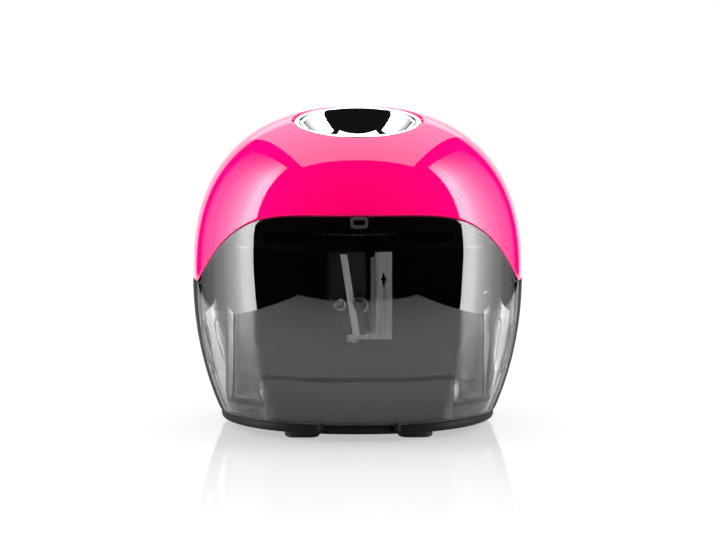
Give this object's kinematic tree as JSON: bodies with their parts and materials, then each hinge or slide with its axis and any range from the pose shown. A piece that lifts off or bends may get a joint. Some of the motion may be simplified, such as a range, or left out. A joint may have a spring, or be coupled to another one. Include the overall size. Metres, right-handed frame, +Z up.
{
  "type": "pencil sharpener",
  "caption": "Battery desktop pencil sharpener with a domed cover, a funnel in its crown, a see-through shavings container that slides out at the front, and a geared rotating cutter.",
  "frame": {"origin": "on the table, under the middle of the body", "axes": "+Z up, front towards -Y, +X to the right of someone facing the front"},
  "size_m": [0.1048, 0.1, 0.0994],
  "materials": {
    "top_cover": "high gloss hot pink",
    "funnel": "polished chrome",
    "pencil_guide": "black moulded plastic",
    "smoked_window": "smoked clear plastic",
    "rear_housing": "black gloss plastic",
    "base_plate": "fine textured black plastic",
    "feet": "soft dark rubber",
    "battery_door": "fine textured black plastic",
    "cell_jacket": "printed film over steel",
    "contacts": "nickel plated",
    "gear_deck": "black moulded plastic",
    "gear_bridge": "black moulded plastic",
    "bearing_bush": "sintered bronze",
    "gears": "white acetal",
    "cutter_steel": "ground steel",
    "cutter_block": "dark grey die casting",
    "blade": "honed steel",
    "screws": "zinc plated",
    "motor_can": "plated steel",
    "magnets": "dark sintered ferrite",
    "armature": "laminated steel wound with copper wire",
    "motor_end_cap": "white moulded plastic",
    "pinion": "machined brass",
    "lever": "white acetal",
    "switches": "black moulded plastic",
    "switch_button": "red moulded plastic"
  },
  "bodies": {
    "root": {"top_cover": "top_cover", "funnel": "funnel", "pencil_guide": "pencil_guide", "rear_housing": "rear_housing", "base_plate": "base_plate", "feet": "feet", "cell_1": "cell_jacket", "cell_2": "cell_jacket", "cell_3": "cell_jacket", "cell_4": "cell_jacket", "contact_plates": "contacts", "contact_springs": "contacts", "gear_deck": "gear_deck", "gear_bridge": "gear_bridge", "bearing_bush": "bearing_bush", "idler_axle": "screws", "motor_can": "motor_can", "motor_magnets": "magnets", "motor_end_cap": "motor_end_cap", "motor_terminals": "contacts", "motor_screws": "screws", "lever_pin": "screws", "lever_spring": "contacts", "micro_switch": "switches", "switch_terminals": "contacts", "plunger_spring": "contacts", "safety_switch": "switches", "deck_screws": "screws", "cover_screws": "screws", "bridge_screws": "screws", "housing_screws": "screws"},
    "container": {"shavings_container": "smoked_window"},
    "cutter": {"rotor_gear": "gears", "cutter_carrier": "cutter_steel", "cutter_block": "cutter_block", "blade": "blade", "blade_screws": "screws", "support_post": "cutter_steel", "post_screws": "screws"},
    "idler": {"idler_gear": "gears"},
    "motor_rotor": {"motor_shaft": "screws", "motor_pinion": "pinion", "motor_armature": "armature"},
    "lever": {"start_lever": "lever"},
    "button": {"switch_button": "switch_button"},
    "plunger": {"safety_plunger": "lever"},
    "door": {"battery_door": "battery_door"}
  },
  "joints": [
    {"name": "container_slide", "type": "slide", "parent": "root", "child": "container", "axis": [0, -1, 0], "range_m": [0, 0.056]},
    {"name": "cutter_spin", "type": "hinge", "parent": "root", "child": "cutter", "pos_m": [0, -0.008, 0.06], "axis": [0, 0, 1], "continuous": true},
    {"name": "idler_spin", "type": "hinge", "parent": "root", "child": "idler", "pos_m": [0.01375, 0.01639, 0.068], "axis": [0, 0, 1], "continuous": true},
    {"name": "motor_spin", "type": "hinge", "parent": "root", "child": "motor_rotor", "pos_m": [0, 0.028, 0.06], "axis": [0, 0, 1], "continuous": true},
    {"name": "lever_pivot", "type": "hinge", "parent": "root", "child": "lever", "pos_m": [-0.024, 0.014, 0.0709], "axis": [0, 0, -1], "range_deg": [0, 3.5], "stiffness_Nm_per_rad": 0.05, "springref_deg": -5.73},
    {"name": "button_slide", "type": "slide", "parent": "root", "child": "button", "axis": [-1, 0, 0], "range_m": [0, 0.0009]},
    {"name": "plunger_slide", "type": "slide", "parent": "root", "child": "plunger", "axis": [0, -1, 0], "range_m": [0, 0.0015]},
    {"name": "door_hinge", "type": "hinge", "parent": "root", "child": "door", "pos_m": [0, 0.0286, 0.00285], "axis": [1, 0, 0], "range_deg": [0, 90]}
  ],
  "couplings": [
    {"joint": "idler_spin", "follows": "cutter_spin", "ratio": -4},
    {"joint": "motor_spin", "follows": "cutter_spin", "ratio": 16},
    {"joint": "button_slide", "follows": "lever_pivot", "m_per_rad": 0.014},
    {"joint": "plunger_slide", "follows": "container_slide", "ratio": 0.0267}
  ]
}
